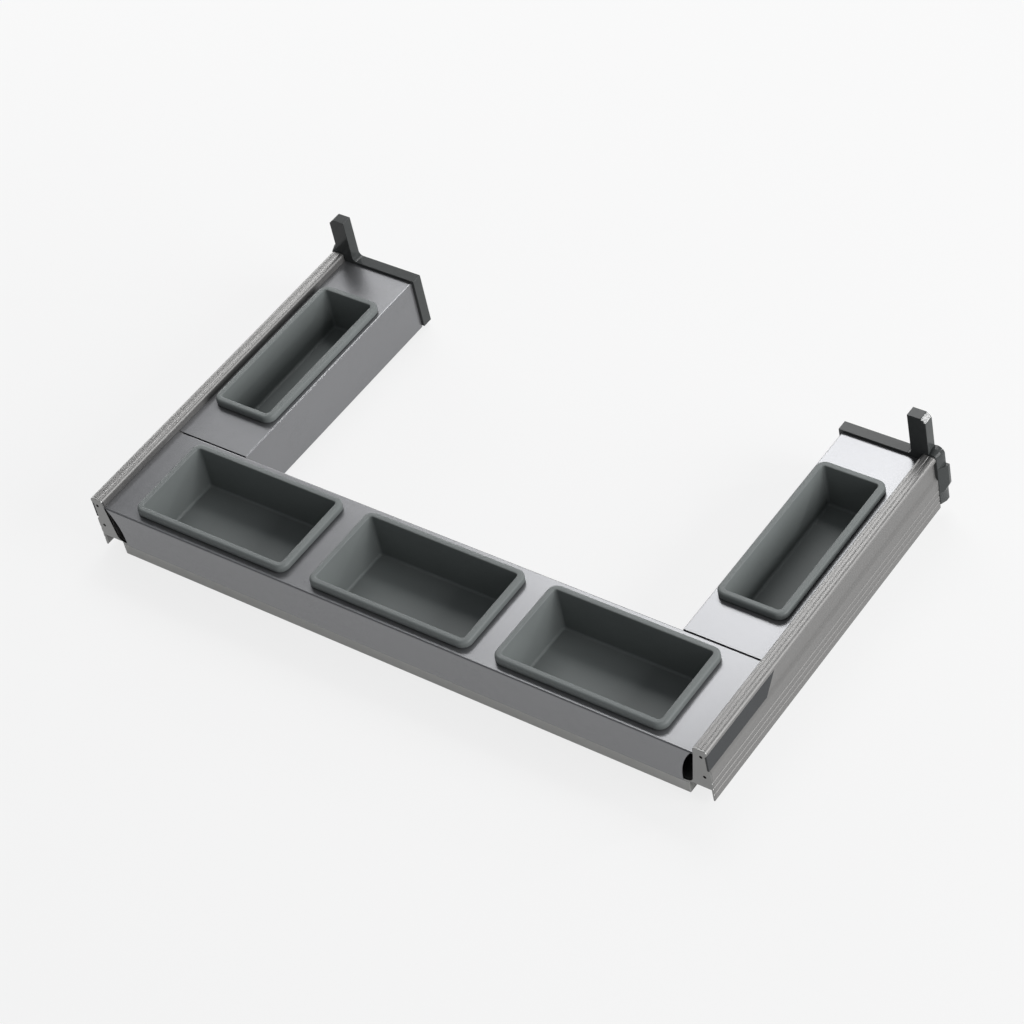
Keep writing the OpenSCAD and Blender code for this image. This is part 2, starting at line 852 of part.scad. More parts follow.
module middle_rail() {
    color([0.58, 0.59, 0.60])
        along_y(mid_y, mid_y + mid_len)
            translate([rail_x, 0]) {
                flange_section();
                upside_down()
                    flange_section();
                plate2d(
                    [-mid_web_t / 2, flange_low + flange_h - hair],
                    [mid_web_t / 2, under_h - flange_low - flange_h + hair]
                );
            }
}

// Thin strip round the flange, with a hole for each ball
module cage_section() {
    low = web_t + cage_gap;
    plate2d([-track_x - cage_t / 2, low], [track_x + cage_t / 2, low + cage_t]);
    for (s = [-1, 1])
        translate([s * track_x, 0])
            plate2d([-cage_t / 2, low], [cage_t / 2, flange_low + flange_h + cage_gap]);
}

module ball_places(y0, z) {
    for (i = [0 : ball_rows - 1], s = [-1, 1])
        translate([rail_x + s * track_x, y0 + cage_end + i * ball_pitch, z])
            children();
}

module cage(y0, upper) {
    color([0.85, 0.85, 0.82])
        difference() {
            along_y(y0, y0 + cage_len)
                translate([rail_x, 0])
                    if (upper)
                        upside_down()
                            cage_section();
                    else
                        cage_section();
            ball_places(y0, upper ? under_h - track_h : track_h)
                rotate([0, 90, 0])
                    cylinder(d = ball_d + ball_gap, h = cage_t + cut, center = true);
        }
}

module balls(y0, upper) {
    color([0.8, 0.8, 0.82])
        ball_places(y0, upper ? under_h - track_h : track_h)
            sphere(d = ball_d);
}

// Rubber block across the rear of the cabinet rail, which the middle rail meets when closed
module rail_stop() {
    half = rail_w / 2 - rail_t;
    color([0.12, 0.12, 0.12])
        block(
            [rail_x - half, stop_y, web_t],
            [rail_x + half, stop_y + stop_len, rail_h - lip_t]
        );
}

// Screws

// Head down at z = 0, shank up
module sunk_screw(len) {
    h = (sunk_d - screw_d) / 2;
    difference() {
        union() {
            cylinder(d1 = sunk_d, d2 = screw_d, h = h);
            cylinder(d = screw_d, h = len);
        }
        translate([0, 0, -cut])
            cylinder(r = socket_r, h = cut + h / 2, $fn = 6);
    }
}

module sunk_hole(len) {
    h = (sunk_d - screw_d) / 2;
    translate([0, 0, -hair])
        cylinder(d1 = sunk_d + 2 * screw_gap, d2 = screw_d + 2 * screw_gap, h = h);
    translate([0, 0, -cut])
        screw_hole(len + 2 * cut);
}

// Head below z = 0, shank up
module pan_screw(len) {
    difference() {
        union() {
            translate([0, 0, -pan_h])
                cylinder(d1 = pan_d - pan_h / 2, d2 = pan_d, h = pan_h);
            cylinder(d = screw_d, h = len);
        }
        translate([0, 0, -pan_h - cut])
            cylinder(r = socket_r, h = cut + pan_h / 2, $fn = 6);
    }
}

rail_screw_y = [rail_y + rail_screw_in, rail_end_y - rail_screw_in];
board_screw_y = [
    front_y + board_screw_in,
    (front_y + profile_end_y) / 2,
    profile_end_y - board_screw_in
];
tray_screw_at = concat(
    [for (i = [-1 : 1]) [i * skirt_screw_pitch, tray_y - return_w / 2]],
    [for (s = [-1, 1], y = [wing_y + tray_screw_in, profile_end_y - tray_screw_in])
        [s * (inner_x + return_w / 2), y]]
);
panel_screw_at = [for (i = [-1 : 1]) [i * bin_pitch, front_y + return_w / 2]];

module tray_screw_holes() {
    for (p = tray_screw_at)
        translate([p[0], p[1], board_low - sheet_t - cut])
            screw_hole(sheet_t + 2 * cut);
    for (p = panel_screw_at)
        translate([p[0], p[1], board_top - cut])
            screw_hole(sheet_t + 2 * cut);
}

module bracket_screws() {
    color([0.5, 0.5, 0.52])
        both_sides()
            for (z = port_z)
                translate([half_w - port_in, rear_y - head_sink, z])
                    rotate([90, 0, 0])
                        pan_screw(bracket_t - head_sink + bracket_screw_grip);
}

module board_screws() {
    color([0.5, 0.5, 0.52])
        both_sides()
            for (y = board_screw_y)
                translate([foot_hole_x, y, board_low])
                    sunk_screw(board_t + flange_t);
}

module tray_screws() {
    color([0.5, 0.5, 0.52]) {
        for (p = tray_screw_at)
            translate([p[0], p[1], board_low - sheet_t])
                pan_screw(tray_screw_len);
        for (p = panel_screw_at)
            translate([p[0], p[1], board_top + sheet_t])
                mirror([0, 0, 1])
                    pan_screw(tray_screw_len);
    }
}

module rail_screws() {
    color([0.5, 0.5, 0.52])
        both_sides()
            for (y = rail_screw_y)
                translate([rail_x, y, under_h - web_t])
                    sunk_screw(rail_screw_len);
}

left() side_profile();  // side_profile_left
side_profile();  // side_profile_right
left() front_plate();  // front_plate_left
front_plate();  // front_plate_right
left() side_cover();  // side_cover_left
side_cover();  // side_cover_right
left() rear_bracket();  // rear_bracket_left
rear_bracket();  // rear_bracket_right
tray_front();
left() tray_wing();  // tray_left
tray_wing();  // tray_right
base_board();
front_bin(-1);  // bin_front_left
front_bin(0);  // bin_front_centre
front_bin(1);  // bin_front_right
side_bin(-1);  // bin_side_left
side_bin(1);  // bin_side_right
left() cabinet_rail();  // cabinet_rail_left
cabinet_rail();  // cabinet_rail_right
left() middle_rail();  // middle_rail_left
middle_rail();  // middle_rail_right
left() drawer_rail();  // drawer_rail_left
drawer_rail();  // drawer_rail_right
left() rail_stop();  // rail_stop_left
rail_stop();  // rail_stop_right
left() cage(lower_cage_y, false);  // cage_lower_left
cage(lower_cage_y, false);  // cage_lower_right
left() cage(upper_cage_y, true);  // cage_upper_left
cage(upper_cage_y, true);  // cage_upper_right
left() balls(lower_cage_y, false);  // balls_lower_left
balls(lower_cage_y, false);  // balls_lower_right
left() balls(upper_cage_y, true);  // balls_upper_left
balls(upper_cage_y, true);  // balls_upper_right
bracket_screws();
board_screws();
tray_screws();
rail_screws();
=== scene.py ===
# %% [markdown]
# # Dressing an under-sink pull-out
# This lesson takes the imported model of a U-shaped storage drawer and gives it the
# looks of the real one: satin extruded sides, folded metal trays, moulded bins and
# grey plastic end pieces. The model is loaded as a fixed frame, in metres, with +Z up
# and the cabinet floor at zero. Everything made here sits on that frame.

# %% Load the fixed frame
import json
import math

import bmesh
import bpy
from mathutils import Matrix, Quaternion, Vector

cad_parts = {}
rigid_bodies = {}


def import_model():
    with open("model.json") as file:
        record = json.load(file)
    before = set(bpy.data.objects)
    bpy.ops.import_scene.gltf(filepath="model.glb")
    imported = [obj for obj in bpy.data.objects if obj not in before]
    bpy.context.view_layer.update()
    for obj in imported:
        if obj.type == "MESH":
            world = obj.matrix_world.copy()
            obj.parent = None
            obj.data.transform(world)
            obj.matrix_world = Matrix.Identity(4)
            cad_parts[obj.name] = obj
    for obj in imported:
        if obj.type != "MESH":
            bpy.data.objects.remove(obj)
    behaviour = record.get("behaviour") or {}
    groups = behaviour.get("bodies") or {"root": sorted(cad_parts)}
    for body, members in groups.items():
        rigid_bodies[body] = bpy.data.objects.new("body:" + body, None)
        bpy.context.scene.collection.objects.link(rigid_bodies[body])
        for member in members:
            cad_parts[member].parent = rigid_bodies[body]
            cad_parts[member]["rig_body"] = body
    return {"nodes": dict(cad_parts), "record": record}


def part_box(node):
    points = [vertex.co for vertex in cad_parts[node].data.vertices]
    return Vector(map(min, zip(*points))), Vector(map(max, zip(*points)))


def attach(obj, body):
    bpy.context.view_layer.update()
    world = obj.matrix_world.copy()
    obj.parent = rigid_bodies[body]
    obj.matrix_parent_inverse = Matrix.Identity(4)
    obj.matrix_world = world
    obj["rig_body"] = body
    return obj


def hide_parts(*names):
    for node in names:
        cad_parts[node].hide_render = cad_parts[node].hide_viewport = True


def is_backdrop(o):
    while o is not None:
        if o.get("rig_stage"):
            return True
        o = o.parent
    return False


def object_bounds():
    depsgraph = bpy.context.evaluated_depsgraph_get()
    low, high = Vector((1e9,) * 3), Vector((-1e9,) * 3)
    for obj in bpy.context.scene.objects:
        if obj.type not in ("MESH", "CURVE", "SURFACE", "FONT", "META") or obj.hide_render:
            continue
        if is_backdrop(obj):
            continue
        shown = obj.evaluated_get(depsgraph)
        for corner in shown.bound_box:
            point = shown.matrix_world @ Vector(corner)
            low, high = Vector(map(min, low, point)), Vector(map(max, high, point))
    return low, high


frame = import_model()
nodes = frame["nodes"]
cad_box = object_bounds()
bpy.ops.object.select_all(action="DESELECT")
MM = 0.001
print("frame:", len(nodes), "nodes,", [round(v, 3) for v in cad_box[1] - cad_box[0]], "m")

# %% [markdown]
# ## The camera
# The picture looks down at the drawer's front right corner with a long lens, and the
# camera is tipped, so that upright edges lean to the left. A camera is easiest to
# place backwards: choose the point it aims at, the two angles it looks along, the
# distance, and last the roll about its own line of sight.

# %% Place the camera
AIM = Vector((0.0345, -0.0381, 0.074))
DISTANCE = 3.5205
AZIMUTH = math.radians(44.745)
ELEVATION = math.radians(44.288)
ROLL = math.radians(-13.685)
LENS = 110.81
SENSOR = 36.0

back = Vector((
    math.sin(AZIMUTH) * math.cos(ELEVATION),
    -math.cos(AZIMUTH) * math.cos(ELEVATION),
    math.sin(ELEVATION),
))
camera = bpy.data.objects.new("camera", bpy.data.cameras.new("camera"))
bpy.context.scene.collection.objects.link(camera)
camera.data.lens = LENS
camera.data.sensor_width = SENSOR
camera.rotation_mode = "QUATERNION"
camera.location = AIM + back * DISTANCE
camera.rotation_quaternion = (-back).to_track_quat("-Z", "Y") @ Quaternion((0, 0, 1), ROLL)
bpy.context.scene.camera = camera
print("camera at", [round(v, 3) for v in camera.location])

# %% [markdown]
# ## Shader maths as plain expressions
# A finish is a network of nodes, and wiring it by hand hides what it says. The class
# below wraps one socket, so that a + b or mask * 0.5 adds the Math node by itself.
# Colours and vectors take a Mix or a Vector Math node, because a Math node would
# turn a colour grey.

# %% A socket that can be added and multiplied
class Wire:
    def __init__(self, finish, socket):
        self.finish = finish
        self.socket = socket

    def maths(self, operation, first, second):
        made = self.finish.node("ShaderNodeMath", {"operation": operation}, {0: first, 1: second})
        return made["Value"]

    def __add__(self, other):
        return self.maths("ADD", self, other)

    def __radd__(self, other):
        return self.maths("ADD", other, self)

    def __mul__(self, other):
        return self.maths("MULTIPLY", self, other)

    def stretched(self, x, y, z):
        """A vector with each of its parts multiplied."""
        made = self.finish.node(
            "ShaderNodeVectorMath", {"operation": "MULTIPLY"}, {0: self, 1: (x, y, z)}
        )
        return made["Vector"]


class Outputs:
    """The outputs of one node, by name."""

    def __init__(self, finish, made):
        self.finish = finish
        self.made = made

    def __getitem__(self, name):
        return Wire(self.finish, self.made.outputs[name])


# %% [markdown]
# ## One class for every finish
# Each finish starts from a Principled shader and the piece's own Object coordinates,
# which are metres on this model. Numbers that are the same all over go straight to
# the shader's sockets, and only what changes over the surface is wired.

# %% A finish and its nodes
# The Mix node has one set of sockets for each kind of data. These are those of colours.
MIX_FACTOR = 0
MIX_FIRST = 6
MIX_SECOND = 7
MIX_RESULT = 2


class Finish:
    def __init__(self, name, **even):
        self.material = bpy.data.materials.new(name)
        self.material.use_nodes = True
        self.tree = self.material.node_tree
        self.tree.nodes.clear()
        self.shader = self.tree.nodes.new("ShaderNodeBsdfPrincipled")
        output = self.tree.nodes.new("ShaderNodeOutputMaterial")
        self.tree.links.new(self.shader.outputs["BSDF"], output.inputs["Surface"])
        for key, value in even.items():
            label = key.replace("_", " ").title().replace("Ior", "IOR")
            self.shader.inputs[label].default_value = value
        self.place = self.node("ShaderNodeTexCoord", {}, {})["Object"]

    def node(self, kind, settings, values):
        """Adds a node, sets it up, and feeds its inputs with wires or numbers."""
        made = self.tree.nodes.new(kind)
        for key, value in settings.items():
            setattr(made, key, value)
        for key, value in values.items():
            self.feed(made.inputs[key], value)
        return Outputs(self, made)

    def feed(self, socket, value):
        if isinstance(value, Wire):
            self.tree.links.new(value.socket, socket)
        else:
            socket.default_value = value

    def noise(self, vector, scale, detail=3.0, roughness=0.5):
        made = self.node(
            "ShaderNodeTexNoise",
            {"noise_dimensions": "3D"},
            {"Vector": vector, "Scale": scale, "Detail": detail, "Roughness": roughness},
        )
        return made["Fac"]

    def blend(self, factor, first, second):
        """A colour between two, by a mask from 0 to 1."""
        made = self.node(
            "ShaderNodeMix",
            {"data_type": "RGBA"},
            {MIX_FACTOR: factor, MIX_FIRST: first, MIX_SECOND: second},
        )
        return Wire(self, made.made.outputs[MIX_RESULT])

    def colour(self, value):
        self.feed(self.shader.inputs["Base Color"], value)

    def roughness(self, value):
        self.feed(self.shader.inputs["Roughness"], value)

    def bump(self, height, depth):
        """Small hollows and hills as high as depth, in metres."""
        made = self.node(
            "ShaderNodeBump", {}, {"Height": height, "Distance": depth, "Strength": 1.0}
        )
        self.feed(self.shader.inputs["Normal"], made["Normal"])


def rgb(red, green, blue):
    return (red, green, blue, 1.0)


def near(colour, share):
    """The same colour, a little lighter or darker."""
    return tuple(part * share for part in colour[:3]) + (1.0,)


# %% [markdown]
# ## Extruded aluminium
# The side profiles are pressed through a die and anodised. The die leaves very fine
# lines that run the whole length, so the noise keeps its size across the profile and
# is drawn out along Y. Anodising is a satin skin over the metal, so the shader is not
# fully metallic: a part of its light is spread evenly, and the beads shine softly.

# %% Finish of the side profiles
def extruded_aluminium():
    finish = Finish("extruded_aluminium", metallic=0.7)
    lines = finish.noise(finish.place.stretched(1.0, 0.002, 1.0), scale=600.0, detail=2.0)
    broad = finish.noise(finish.place.stretched(1.0, 0.05, 1.0), scale=90.0, detail=2.0)
    cloud = finish.noise(finish.place, scale=14.0)
    metal = rgb(0.205, 0.202, 0.1985)
    streaks = lines * 0.5 + broad * 0.3 + cloud * 0.2
    finish.colour(finish.blend(streaks, near(metal, 0.93), near(metal, 1.07)))
    finish.roughness(0.41 + lines * 0.03 + cloud * 0.04)
    finish.bump(lines + broad * 0.6, 0.0000006)
    return finish.material


# %% [markdown]
# ## End plates
# The small plates that close the front of each profile are stamped, so they have a
# fine even grain and none of the long lines of the extrusion behind them.

# %% Finish of the end plates
def stamped_plate():
    finish = Finish("stamped_plate", metallic=1.0)
    grain = finish.noise(finish.place, scale=2600.0, detail=2.0)
    cloud = finish.noise(finish.place, scale=60.0)
    metal = rgb(0.235, 0.235, 0.231)
    finish.colour(finish.blend(grain * 0.5 + cloud * 0.5, near(metal, 0.9), near(metal, 1.1)))
    finish.roughness(0.34 + grain * 0.1)
    finish.bump(grain, 0.00002)
    return finish.material


# %% [markdown]
# ## Coated sheet
# The trays are folded from sheet with a metallic silver-grey coating. From above, the
# deck mirrors the room softly, and the arm of the bracket shows in it. Coated sheet
# has a slight orange peel and tiny flakes, which keep it from looking like glass.

# %% Finish of the trays
def coated_sheet():
    finish = Finish("coated_sheet", metallic=0.65)
    flakes = finish.noise(finish.place, scale=5200.0, detail=1.0)
    peel = finish.noise(finish.place, scale=620.0, detail=2.0)
    cloud = finish.noise(finish.place, scale=7.0, detail=4.0, roughness=0.6)
    metal = rgb(0.2, 0.202, 0.209)
    finish.colour(finish.blend(flakes * 0.4 + cloud * 0.6, near(metal, 0.93), near(metal, 1.07)))
    finish.roughness(0.235 + flakes * 0.04 + cloud * 0.05)
    finish.bump(peel, 0.00001)
    return finish.material


# %% [markdown]
# ## Faced board
# The base is a chipboard panel with a grey melamine face and edge band. Melamine is
# printed paper under resin: nearly even, with a fine fleck and a dull shine.

# %% Finish of the base board
def faced_board():
    finish = Finish("faced_board", specular_ior_level=0.4)
    fleck = finish.noise(finish.place, scale=1500.0, roughness=0.7)
    cloud = finish.noise(finish.place, scale=30.0, detail=4.0)
    paper = rgb(0.54, 0.535, 0.515)
    finish.colour(finish.blend(fleck * 0.6 + cloud * 0.4, near(paper, 0.82), near(paper, 1.16)))
    finish.roughness(0.5 + cloud * 0.15)
    finish.bump(fleck, 0.00003)
    return finish.material


# %% [markdown]
# ## Moulded plastics
# The bins, the brackets and the covers are moulded. They share one recipe: a plain
# colour that drifts very slightly, and the spark-eroded grain of a mould as a shallow
# bump. Only the colour, the dullness, the grain and the strength of the shine differ.
# The brackets are the least dull, so the cut corner of an arm flashes like a mirror.

# %% Finish of the moulded parts
def moulded(name, plastic, dull, grain_size, grain_depth, shine=0.42):
    finish = Finish(name, specular_ior_level=shine)
    grain = finish.noise(finish.place, scale=1.0 / grain_size, roughness=0.6)
    drift = finish.noise(finish.place, scale=22.0)
    finish.colour(finish.blend(drift * 0.7 + grain * 0.3, near(plastic, 0.9), near(plastic, 1.1)))
    finish.roughness(dull + grain * 0.08 + drift * 0.06)
    finish.bump(grain, grain_depth)
    return finish.material


# %% [markdown]
# ## Steel, balls and rubber
# The runner members are rolled from zinc-plated strip, so they carry faint rolling
# lines. The balls are polished, the cages are natural nylon, and the stop is rubber.

# %% Finishes of the runner parts
def zinc_plated(name, tone, dull):
    finish = Finish(name, metallic=1.0)
    spangle = finish.node(
        "ShaderNodeTexVoronoi", {"feature": "F1"}, {"Vector": finish.place, "Scale": 380.0}
    )["Distance"]
    lines = finish.noise(finish.place.stretched(1.0, 0.02, 1.0), scale=1400.0)
    zinc = rgb(tone, tone * 1.01, tone * 1.03)
    finish.colour(finish.blend(spangle * 0.5 + lines * 0.4, near(zinc, 0.85), near(zinc, 1.15)))
    finish.roughness(dull + lines * 0.12)
    finish.bump(lines, 0.00001)
    return finish.material


def polished_steel():
    finish = Finish("polished_steel", metallic=1.0)
    haze = finish.noise(finish.place, scale=900.0, detail=2.0)
    finish.colour(finish.blend(haze, rgb(0.62, 0.62, 0.64), rgb(0.72, 0.72, 0.74)))
    finish.roughness(0.06 + haze * 0.06)
    finish.bump(haze, 0.000001)
    return finish.material


BIN_GREEN = rgb(0.144, 0.157, 0.155)
BRACKET_GREY = rgb(0.048, 0.051, 0.051)
COVER_GREY = rgb(0.03, 0.032, 0.034)
NYLON_WHITE = rgb(0.62, 0.61, 0.56)
RUBBER_BLACK = rgb(0.02, 0.02, 0.02)

# The moulded parts: name, colour, dullness, then the size and depth of the grain in metres
finishes = {
    "anodised_aluminium": extruded_aluminium(),
    "cast_end": stamped_plate(),
    "tray_sheet": coated_sheet(),
    "coated_board": faced_board(),
    "bin_plastic": moulded("bin_plastic", BIN_GREEN, 0.42, 0.0007, 0.00001, shine=0.28),
    "bracket_plastic": moulded("bracket_plastic", BRACKET_GREY, 0.1, 0.0005, 0.000003, shine=0.14),
    "grey_plastic": moulded("cover_plastic", COVER_GREY, 0.42, 0.0005, 0.00001, shine=0.2),
    "cage_plastic": moulded("cage_nylon", NYLON_WHITE, 0.45, 0.0004, 0.00001),
    "stop_rubber": moulded("stop_rubber", RUBBER_BLACK, 0.6, 0.0006, 0.00003),
    "runner_steel": zinc_plated("runner_zinc", 0.5, 0.28),
    "screw_steel": zinc_plated("screw_zinc", 0.42, 0.25),
    "ball_steel": polished_steel(),
}
print("finishes:", len(finishes))

# %% [markdown]
# ## Small helpers for modelling
# Operators act on all that is selected, so each step starts with nothing selected.
# Faces and edges are picked in code, by where they are.

# %% Select, add and apply
def select_only(piece):
    bpy.ops.object.select_all(action="DESELECT")
    piece.select_set(True)
    bpy.context.view_layer.objects.active = piece


def pick_faces(piece, wanted):
    """Selects the faces whose middle and normal are wanted. The piece is in edit mode."""
    bpy.ops.mesh.select_mode(type="FACE")
    bpy.ops.mesh.select_all(action="DESELECT")
    mesh = bmesh.from_edit_mesh(piece.data)
    for face in mesh.faces:
        if wanted(face.calc_center_median(), face.normal):
            face.select_set(True)
    bmesh.update_edit_mesh(piece.data)


def pick_edges(piece, wanted):
    """Selects the edges whose two ends are wanted. The piece is in edit mode."""
    bpy.ops.mesh.select_mode(type="EDGE")
    bpy.ops.mesh.select_all(action="DESELECT")
    mesh = bmesh.from_edit_mesh(piece.data)
    for edge in mesh.edges:
        if wanted(edge.verts[0].co, edge.verts[1].co):
            edge.select_set(True)
    bmesh.update_edit_mesh(piece.data)


def apply_modifier(piece, kind, **settings):
    modifier = piece.modifiers.new(kind.lower(), kind)
    for key, value in settings.items():
        setattr(modifier, key, value)
    select_only(piece)
    bpy.ops.object.modifier_apply(modifier=modifier.name)


# How much a large face outweighs its small neighbours, of 100
LARGE_FACE_WEIGHT = 100


def smooth(piece, angle):
    """Smooth shading up to an angle, with flat faces kept flat."""
    select_only(piece)
    bpy.ops.object.shade_smooth_by_angle(angle=math.radians(angle))
    apply_modifier(piece, "WEIGHTED_NORMAL", keep_sharp=True, weight=LARGE_FACE_WEIGHT)


slots = {row["node"]: row["material_slot"] for row in frame["record"]["subparts"]}


def dress(piece, node):
    """Gives a piece the finish and the body of the node that it stands for."""
    slot = slots[node]
    piece.data.materials.clear()
    piece.data.materials.append(finishes[slot])
    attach(piece, nodes[node]["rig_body"])
    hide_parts(node)


# %% [markdown]
# ## Breaking the edges
# A drawn solid has edges like knives, and no real piece does: sheet is deburred,
# plastic comes from a mould with radii, and the extrusion has small radii from its
# die. The node's mesh is copied, its loose triangles are merged into whole faces, and
# a narrow bevel breaks every sharp edge. The bevel is what catches the light.

# %% Copy a node and break its edges
MERGE_WITHIN = 0.02 * MM
FLAT_WITHIN = math.radians(0.4)
BEVEL_STEPS = 2
BEVEL_FROM = 35
SMOOTH_UP_TO = 28


def with_broken_edges(node, edge_width, bevel_from=BEVEL_FROM):
    """A finished copy of a node. Edges that turn by more than bevel_from degrees are broken."""
    piece = bpy.data.objects.new(node + "_finished", nodes[node].data.copy())
    bpy.context.scene.collection.objects.link(piece)
    select_only(piece)
    bpy.ops.object.mode_set(mode="EDIT")
    bpy.ops.mesh.select_all(action="SELECT")
    bpy.ops.mesh.remove_doubles(threshold=MERGE_WITHIN)
    bpy.ops.mesh.dissolve_limited(angle_limit=FLAT_WITHIN)
    bpy.ops.object.mode_set(mode="OBJECT")
    if edge_width > 0:
        apply_modifier(
            piece,
            "BEVEL",
            width=edge_width * MM,
            segments=BEVEL_STEPS,
            limit_method="ANGLE",
            angle_limit=math.radians(bevel_from),
            use_clamp_overlap=False,
            loop_slide=False,
        )
    smooth(piece, SMOOTH_UP_TO)
    dress(piece, node)
    return piece


# Width of the broken edge in millimetres, by the start of the node's name
EDGE_WIDTHS = {
    "side_profile": 0.25,
    "front_plate": 0.3,
    "side_cover": 0.4,
    "rear_bracket": 0.5,
    "tray": 0.05,
    "base_board": 0.4,
    "cabinet_rail": 0.2,
    "drawer_rail": 0.2,
    "middle_rail": 0.2,
    "rail_stop": 0.5,
    "cage": 0.0,
    "balls": 0.0,
}
finished = [
    with_broken_edges(node, width)
    for node in sorted(nodes)
    for start, width in EDGE_WIDTHS.items()
    if node.startswith(start) and not node.endswith("screws")
]
print("pieces with broken edges:", len(finished))

# %% The screws, whose edges are broken from a smaller angle
SCREW_EDGE = 0.12
SCREW_BEVEL_FROM = 25
screws = [
    with_broken_edges(node, SCREW_EDGE, SCREW_BEVEL_FROM)
    for node in ("bracket_screws", "board_screws", "tray_screws", "rail_screws")
]
print("nodes of screws:", len(screws))

# %% [markdown]
# ## The bins
# A bin is moulded in one shot: a rolled rim that lies on the deck, walls that taper so
# that it leaves the mould, and a soft radius where they meet the floor. It starts as a
# block the size of the rim. Its corners are rounded, the top is inset and pushed down
# for the hollow, the underside is inset and drawn down for the outer wall, and last
# each edge gets its own radius.

# %% Sizes of a bin, in millimetres
RIM_RISE = 10.0
RIM_WIDTH = 8.2
WALL = 2.0
TAPER = 3.0
CORNER = 4.0
FLOOR_RADIUS = 3.2
RIM_RADIUS = 3.6
RIM_INNER_RADIUS = 1.3
RIM_UNDER_RADIUS = 2.4

# Steps round a corner, how far an edge or face may be off to be picked, and the
# largest angle that is shaded smooth
CORNER_STEPS = 8
LEVEL_SLACK = 0.01 * MM
RING_SLACK = 1.2 * MM
LEVEL_FACE = 0.9
BIN_SMOOTH_UP_TO = 50


def grow(size, by):
    """How much a side has to be scaled for both its ends to lie by further out."""
    return (size + 2 * by) / size


# %% Model one bin round its node's box
def mould_bin(node):
    low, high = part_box(node)
    middle = (low + high) / 2
    length = (high.x - low.x) / MM
    width = (high.y - low.y) / MM
    deck = high.z - RIM_RISE * MM
    bpy.ops.object.select_all(action="DESELECT")
    bpy.ops.mesh.primitive_cube_add(
        size=1,
        location=(middle.x, middle.y, deck + RIM_RISE * MM / 2),
        scale=(length * MM, width * MM, RIM_RISE * MM),
    )
    piece = bpy.context.active_object
    piece.name = node + "_moulded"
    bpy.ops.object.transform_apply(location=True, rotation=True, scale=True)
    bpy.ops.object.mode_set(mode="EDIT")

    def upright(first, second):
        return abs(first.z - second.z) > RIM_RISE * MM / 2

    def level_at(height):
        """Whether both ends of an edge lie at this height."""
        return lambda *ends: all(abs(point.z - height) < LEVEL_SLACK for point in ends)

    def inside_rim(point):
        """How far a point lies inside the rim's rounded outline, seen from above."""
        radius = (CORNER + RIM_WIDTH) * MM
        out_x = abs(point.x - middle.x) - length * MM / 2 + radius
        out_y = abs(point.y - middle.y) - width * MM / 2 + radius
        return radius - math.hypot(max(out_x, 0), max(out_y, 0)) - min(max(out_x, out_y), 0)

    def ring_at(height, inset):
        """The closed ring of edges at this height, this far inside the rim's outline."""
        def wanted(first, second):
            return level_at(height)(first, second) and all(
                abs(inside_rim(point) - inset) < RING_SLACK for point in (first, second)
            )
        return wanted

    pick_edges(piece, upright)
    bpy.ops.mesh.bevel(offset=(CORNER + RIM_WIDTH) * MM, segments=CORNER_STEPS, affect="EDGES")

    # The hollow, from the rim down to the floor
    floor = low.z + WALL * MM
    pick_faces(piece, lambda at, normal: normal.z > LEVEL_FACE)
    bpy.ops.mesh.inset(thickness=RIM_WIDTH * MM, use_even_offset=True)
    bpy.ops.mesh.extrude_region_move(
        TRANSFORM_OT_translate={"value": (0, 0, floor - high.z)}
    )
    hollow = (length - 2 * RIM_WIDTH, width - 2 * RIM_WIDTH)
    bpy.ops.transform.resize(
        value=(grow(hollow[0], -TAPER), grow(hollow[1], -TAPER), 1),
        center_override=(middle.x, middle.y, floor),
    )

    # The outer wall, from under the rim down to the underside
    pick_faces(piece, lambda at, normal: normal.z < -LEVEL_FACE)
    bpy.ops.mesh.inset(thickness=(RIM_WIDTH - WALL) * MM, use_even_offset=True)
    bpy.ops.mesh.extrude_region_move(
        TRANSFORM_OT_translate={"value": (0, 0, low.z - deck)}
    )
    outer = (hollow[0] + 2 * WALL, hollow[1] + 2 * WALL)
    bpy.ops.transform.resize(
        value=(grow(outer[0], -TAPER), grow(outer[1], -TAPER), 1),
        center_override=(middle.x, middle.y, low.z),
    )

    # A radius on each ring of edges: its height, its inset, the radius and the steps
    for height, inset, radius, steps in (
        (floor, RIM_WIDTH + TAPER, FLOOR_RADIUS, 5),
        (low.z, RIM_WIDTH - WALL + TAPER, FLOOR_RADIUS + WALL, 5),
        (high.z, 0.0, RIM_RADIUS, 6),
        (high.z, RIM_WIDTH, RIM_INNER_RADIUS, 3),
        (deck, 0.0, RIM_UNDER_RADIUS, 4),
    ):
        pick_edges(piece, ring_at(height, inset * MM))
        bpy.ops.mesh.bevel(offset=radius * MM, segments=steps, affect="EDGES", clamp_overlap=False)
    bpy.ops.object.mode_set(mode="OBJECT")
    smooth(piece, BIN_SMOOTH_UP_TO)
    dress(piece, node)
    return piece


bins = [mould_bin(node) for node in sorted(nodes) if node.startswith("bin_")]
for piece in bins:
    print(piece.name, len(piece.data.polygons), "faces")

# %% [markdown]
# ## Studio
# The pull-out stands on a pale floor that runs out far behind it. The floor glows by
# itself for the camera and for mirrors, which keeps its tone even, and the small rest
# of it that takes the lamps leaves a soft shadow. A weak pale sky fills in the rest.

# %% Floor and sky
PAPER = 0.938
PAPER_GREY = 0.79
GLOW_SHARE = 0.85
FLOOR_SIZE = 60.0
SKY_COLOUR = rgb(0.95, 0.97, 1.0)
SKY_STRENGTH = 0.25

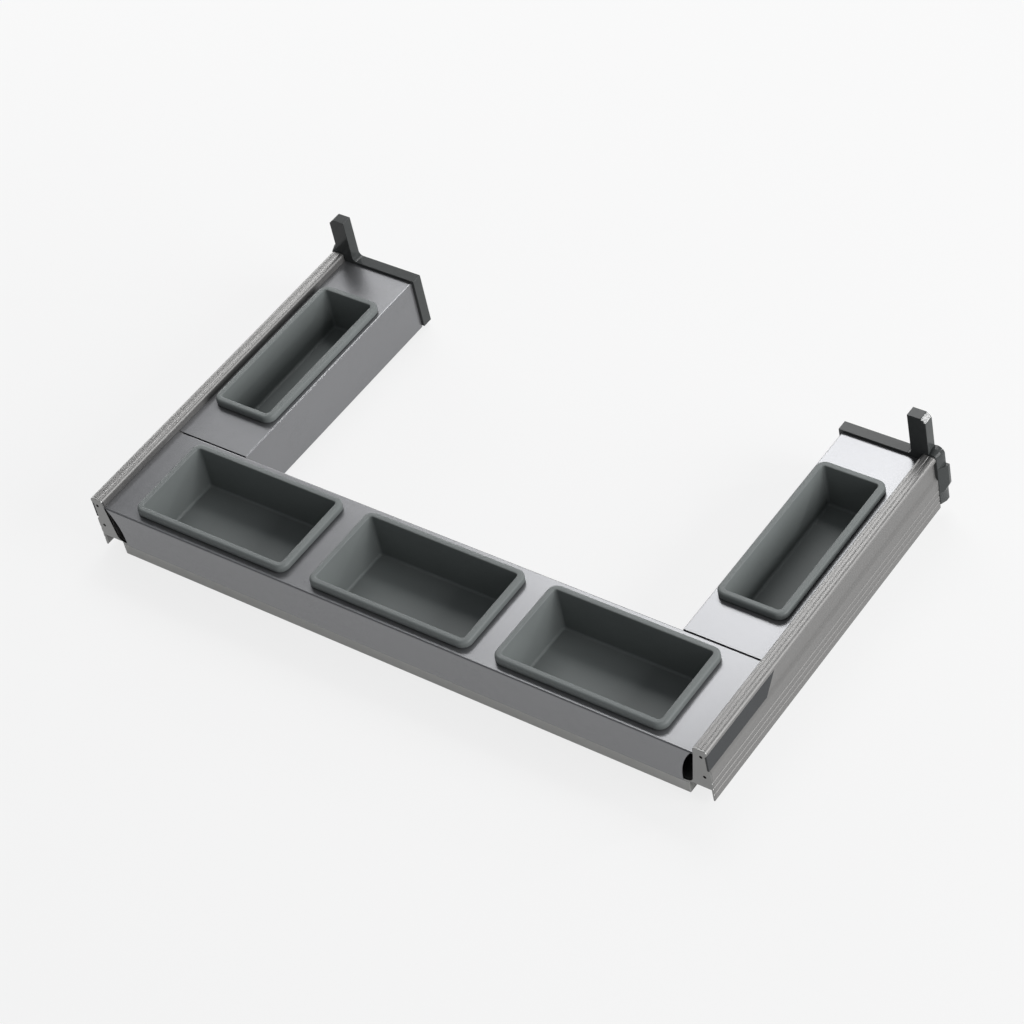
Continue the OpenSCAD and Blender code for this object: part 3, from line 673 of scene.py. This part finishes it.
bpy.ops.object.select_all(action="DESELECT")
bpy.ops.mesh.primitive_plane_add(size=FLOOR_SIZE, location=(0, 0, 0))
floor = bpy.context.active_object
floor.name = "studio_floor"
floor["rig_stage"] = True


def paper_floor():
    finish = Finish("paper_floor", roughness=0.9, specular_ior_level=0.1)
    finish.colour(rgb(PAPER_GREY, PAPER_GREY, PAPER_GREY))
    ray = finish.node("ShaderNodeLightPath", {}, {})
    seen = ray["Is Camera Ray"] + ray["Is Glossy Ray"] + ray["Is Transmission Ray"]
    paper = rgb(PAPER, PAPER, PAPER)
    glow = finish.node("ShaderNodeEmission", {}, {"Color": paper, "Strength": 1.0})
    mixed = finish.node("ShaderNodeMixShader", {}, {"Fac": seen * GLOW_SHARE})
    paper_in, glow_in = mixed.made.inputs[1:3]
    finish.tree.links.new(finish.shader.outputs["BSDF"], paper_in)
    finish.tree.links.new(glow.made.outputs["Emission"], glow_in)
    output = next(n for n in finish.tree.nodes if n.type == "OUTPUT_MATERIAL")
    finish.tree.links.new(mixed.made.outputs["Shader"], output.inputs["Surface"])
    return finish.material


floor.data.materials.append(paper_floor())

world = bpy.data.worlds.new("sky")
bpy.context.scene.world = world
world.use_nodes = True
sky = world.node_tree.nodes["Background"]
sky.inputs["Color"].default_value = SKY_COLOUR
sky.inputs["Strength"].default_value = SKY_STRENGTH

# %% [markdown]
# ## Lamps
# Most lamps stand where some face of the pull-out mirrors them towards the camera. The
# key stands low at the right, lights the right outer wall and the bins from the side
# and makes the shadow. The rear panel shows in the right decks, and the feather panel
# gives the left decks a darker, even tone. The two strips draw the light lines on the
# beads. The small sparkle lamp flashes in the cut corner of the right arm.

# %% Softboxes
MIDDLE = (0, 0, 0.05)
LEFT_DECK = (-0.3, 0, 0.05)
RIGHT_ARM = (0.41, 0.235, 0.13)


def softbox(name, at, aim, width, height, glow):
    """A lamp whose face is as bright as glow, where 1 is the tone of white paper."""
    lamp = bpy.data.lights.new(name, "AREA")
    lamp.shape = "RECTANGLE"
    lamp.size = width
    lamp.size_y = height
    lamp.energy = glow * math.pi * width * height
    holder = bpy.data.objects.new(name, lamp)
    bpy.context.scene.collection.objects.link(holder)
    holder.location = at
    holder.rotation_euler = (Vector(aim) - Vector(at)).to_track_quat("-Z", "Y").to_euler()


softbox("key_softbox", (4.92, 0.6, 1.8), MIDDLE, 2.7, 3.0, 10.4)
softbox("sparkle", (1.243, 0.949, 0.615), RIGHT_ARM, 0.075, 0.075, 150.0)
softbox("rear_panel", (-0.95, 2.1, 2.4), MIDDLE, 1.8, 1.2, 6.1)
softbox("top_strip", (0.2, 1.72, 2.85), MIDDLE, 2.2, 0.4, 6.0)
softbox("feather_panel", (-2.5, 1.9, 2.3), LEFT_DECK, 0.9, 1.2, 1.3)
softbox("low_strip", (-2.75, 1.75, 0.85), MIDDLE, 2.2, 0.9, 6.5)

bpy.context.scene.view_settings.view_transform = "Standard"

# %% [markdown]
# ## The dressed size
# The box of the dressed model is printed, as that of the solids was at the start, so
# that the two can be set side by side: Blender should change the looks and not the size.

# %% Print the dressed box
dressed_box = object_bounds()
print("dressed:", [round(v, 4) for v in dressed_box[1] - dressed_box[0]], "m")
